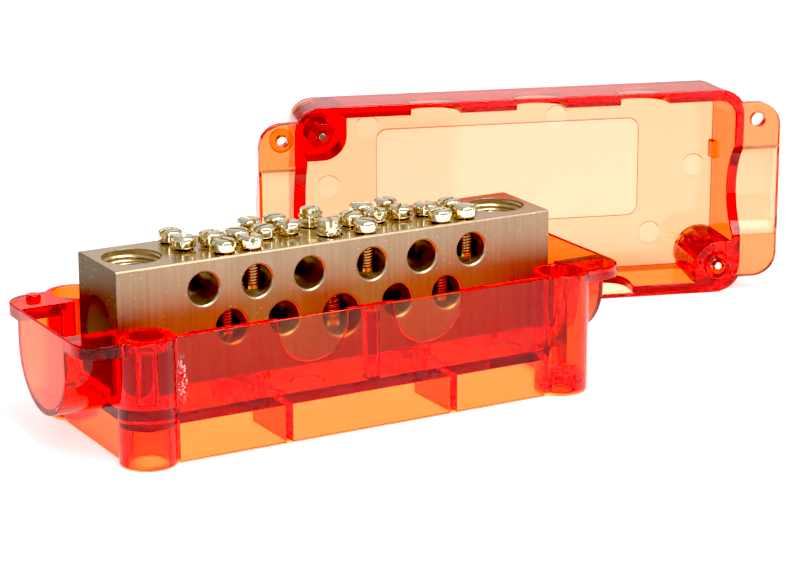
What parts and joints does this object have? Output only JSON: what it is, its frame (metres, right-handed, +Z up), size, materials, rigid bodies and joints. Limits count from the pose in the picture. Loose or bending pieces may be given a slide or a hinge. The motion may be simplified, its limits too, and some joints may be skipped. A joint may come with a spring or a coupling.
{
  "type": "bus bar",
  "caption": "Brass bus bar with slotted terminal screws in a translucent red tray, its cover stood behind it.",
  "frame": {"origin": "centre of the tray's underside, on the panel plane, between the two mounting holes", "axes": "+X along the bar, +Y to the back, +Z up out of the tray"},
  "size_m": [0.2344, 0.1132, 0.0582],
  "materials": {
    "red_polycarbonate": "clear moulded",
    "brass_bar": "milled",
    "brass_screw": "polished",
    "steel_screw": "zinc plated"
  },
  "bodies": {
    "tray": {"base": "red_polycarbonate", "cover": "red_polycarbonate", "brass_bar": "brass_bar", "fixing_screw_left": "steel_screw", "fixing_screw_right": "steel_screw"},
    "terminal_screw_01_body": {"terminal_screw_01": "brass_screw"},
    "terminal_screw_02_body": {"terminal_screw_02": "brass_screw"},
    "terminal_screw_03_body": {"terminal_screw_03": "brass_screw"},
    "terminal_screw_04_body": {"terminal_screw_04": "brass_screw"},
    "terminal_screw_05_body": {"terminal_screw_05": "brass_screw"},
    "terminal_screw_06_body": {"terminal_screw_06": "brass_screw"},
    "terminal_screw_07_body": {"terminal_screw_07": "brass_screw"},
    "terminal_screw_08_body": {"terminal_screw_08": "brass_screw"},
    "terminal_screw_09_body": {"terminal_screw_09": "brass_screw"},
    "terminal_screw_10_body": {"terminal_screw_10": "brass_screw"},
    "terminal_screw_11_body": {"terminal_screw_11": "brass_screw"},
    "terminal_screw_12_body": {"terminal_screw_12": "brass_screw"},
    "terminal_screw_13_body": {"terminal_screw_13": "brass_screw"},
    "terminal_screw_14_body": {"terminal_screw_14": "brass_screw"},
    "terminal_screw_15_body": {"terminal_screw_15": "brass_screw"},
    "terminal_screw_16_body": {"terminal_screw_16": "brass_screw"},
    "terminal_screw_17_body": {"terminal_screw_17": "brass_screw"},
    "terminal_screw_18_body": {"terminal_screw_18": "brass_screw"},
    "terminal_screw_19_body": {"terminal_screw_19": "brass_screw"},
    "terminal_screw_20_body": {"terminal_screw_20": "brass_screw"},
    "centre_screw_front_body": {"centre_screw_front": "brass_screw"},
    "centre_screw_back_body": {"centre_screw_back": "brass_screw"},
    "grub_screw_left_body": {"grub_screw_left": "brass_screw"},
    "grub_screw_right_body": {"grub_screw_right": "brass_screw"},
    "cover_screw_left_body": {"cover_screw_left": "steel_screw"},
    "cover_screw_right_body": {"cover_screw_right": "steel_screw"}
  },
  "joints": [
    {"name": "terminal_screw_01_travel", "type": "slide", "parent": "tray", "child": "terminal_screw_01_body", "axis": [0, 0, 1], "range_m": [-0.0004, 0.007]},
    {"name": "terminal_screw_02_travel", "type": "slide", "parent": "tray", "child": "terminal_screw_02_body", "axis": [0, 0, 1], "range_m": [-0.0002, 0.007]},
    {"name": "terminal_screw_03_travel", "type": "slide", "parent": "tray", "child": "terminal_screw_03_body", "axis": [0, 0, 1], "range_m": [-0.0003, 0.007]},
    {"name": "terminal_screw_04_travel", "type": "slide", "parent": "tray", "child": "terminal_screw_04_body", "axis": [0, 0, 1], "range_m": [-0.0005, 0.007]},
    {"name": "terminal_screw_05_travel", "type": "slide", "parent": "tray", "child": "terminal_screw_05_body", "axis": [0, 0, 1], "range_m": [-0.0004, 0.007]},
    {"name": "terminal_screw_06_travel", "type": "slide", "parent": "tray", "child": "terminal_screw_06_body", "axis": [0, 0, 1], "range_m": [-0.0002, 0.007]},
    {"name": "terminal_screw_07_travel", "type": "slide", "parent": "tray", "child": "terminal_screw_07_body", "axis": [0, 0, 1], "range_m": [-0.0002, 0.007]},
    {"name": "terminal_screw_08_travel", "type": "slide", "parent": "tray", "child": "terminal_screw_08_body", "axis": [0, 0, 1], "range_m": [-0.0003, 0.007]},
    {"name": "terminal_screw_09_travel", "type": "slide", "parent": "tray", "child": "terminal_screw_09_body", "axis": [0, 0, 1], "range_m": [-0.0005, 0.007]},
    {"name": "terminal_screw_10_travel", "type": "slide", "parent": "tray", "child": "terminal_screw_10_body", "axis": [0, 0, 1], "range_m": [-0.0002, 0.007]},
    {"name": "terminal_screw_11_travel", "type": "slide", "parent": "tray", "child": "terminal_screw_11_body", "axis": [0, 0, 1], "range_m": [-0.0002, 0.007]},
    {"name": "terminal_screw_12_travel", "type": "slide", "parent": "tray", "child": "terminal_screw_12_body", "axis": [0, 0, 1], "range_m": [-0.0004, 0.007]},
    {"name": "terminal_screw_13_travel", "type": "slide", "parent": "tray", "child": "terminal_screw_13_body", "axis": [0, 0, 1], "range_m": [-0.0003, 0.007]},
    {"name": "terminal_screw_14_travel", "type": "slide", "parent": "tray", "child": "terminal_screw_14_body", "axis": [0, 0, 1], "range_m": [-0.0002, 0.007]},
    {"name": "terminal_screw_15_travel", "type": "slide", "parent": "tray", "child": "terminal_screw_15_body", "axis": [0, 0, 1], "range_m": [-0.0004, 0.007]},
    {"name": "terminal_screw_16_travel", "type": "slide", "parent": "tray", "child": "terminal_screw_16_body", "axis": [0, 0, 1], "range_m": [-0.0005, 0.007]},
    {"name": "terminal_screw_17_travel", "type": "slide", "parent": "tray", "child": "terminal_screw_17_body", "axis": [0, 0, 1], "range_m": [-0.0002, 0.007]},
    {"name": "terminal_screw_18_travel", "type": "slide", "parent": "tray", "child": "terminal_screw_18_body", "axis": [0, 0, 1], "range_m": [-0.0002, 0.007]},
    {"name": "terminal_screw_19_travel", "type": "slide", "parent": "tray", "child": "terminal_screw_19_body", "axis": [0, 0, 1], "range_m": [-0.0004, 0.007]},
    {"name": "terminal_screw_20_travel", "type": "slide", "parent": "tray", "child": "terminal_screw_20_body", "axis": [0, 0, 1], "range_m": [-0.0003, 0.007]},
    {"name": "centre_screw_front_travel", "type": "slide", "parent": "tray", "child": "centre_screw_front_body", "axis": [0, 0, 1], "range_m": [-0.0003, 0.0085]},
    {"name": "centre_screw_back_travel", "type": "slide", "parent": "tray", "child": "centre_screw_back_body", "axis": [0, 0, 1], "range_m": [-0.0003, 0.0085]},
    {"name": "grub_screw_left_travel", "type": "slide", "parent": "tray", "child": "grub_screw_left_body", "axis": [0, 0, 1], "range_m": [-0.008, 0.006]},
    {"name": "grub_screw_right_travel", "type": "slide", "parent": "tray", "child": "grub_screw_right_body", "axis": [0, 0, 1], "range_m": [-0.008, 0.006]},
    {"name": "cover_screw_left_travel", "type": "slide", "parent": "tray", "child": "cover_screw_left_body", "axis": [0.3047, 0.9524, 0], "range_m": [-0.0068, 0.004]},
    {"name": "cover_screw_right_travel", "type": "slide", "parent": "tray", "child": "cover_screw_right_body", "axis": [0.3047, 0.9524, 0], "range_m": [-0.0068, 0.004]}
  ]
}
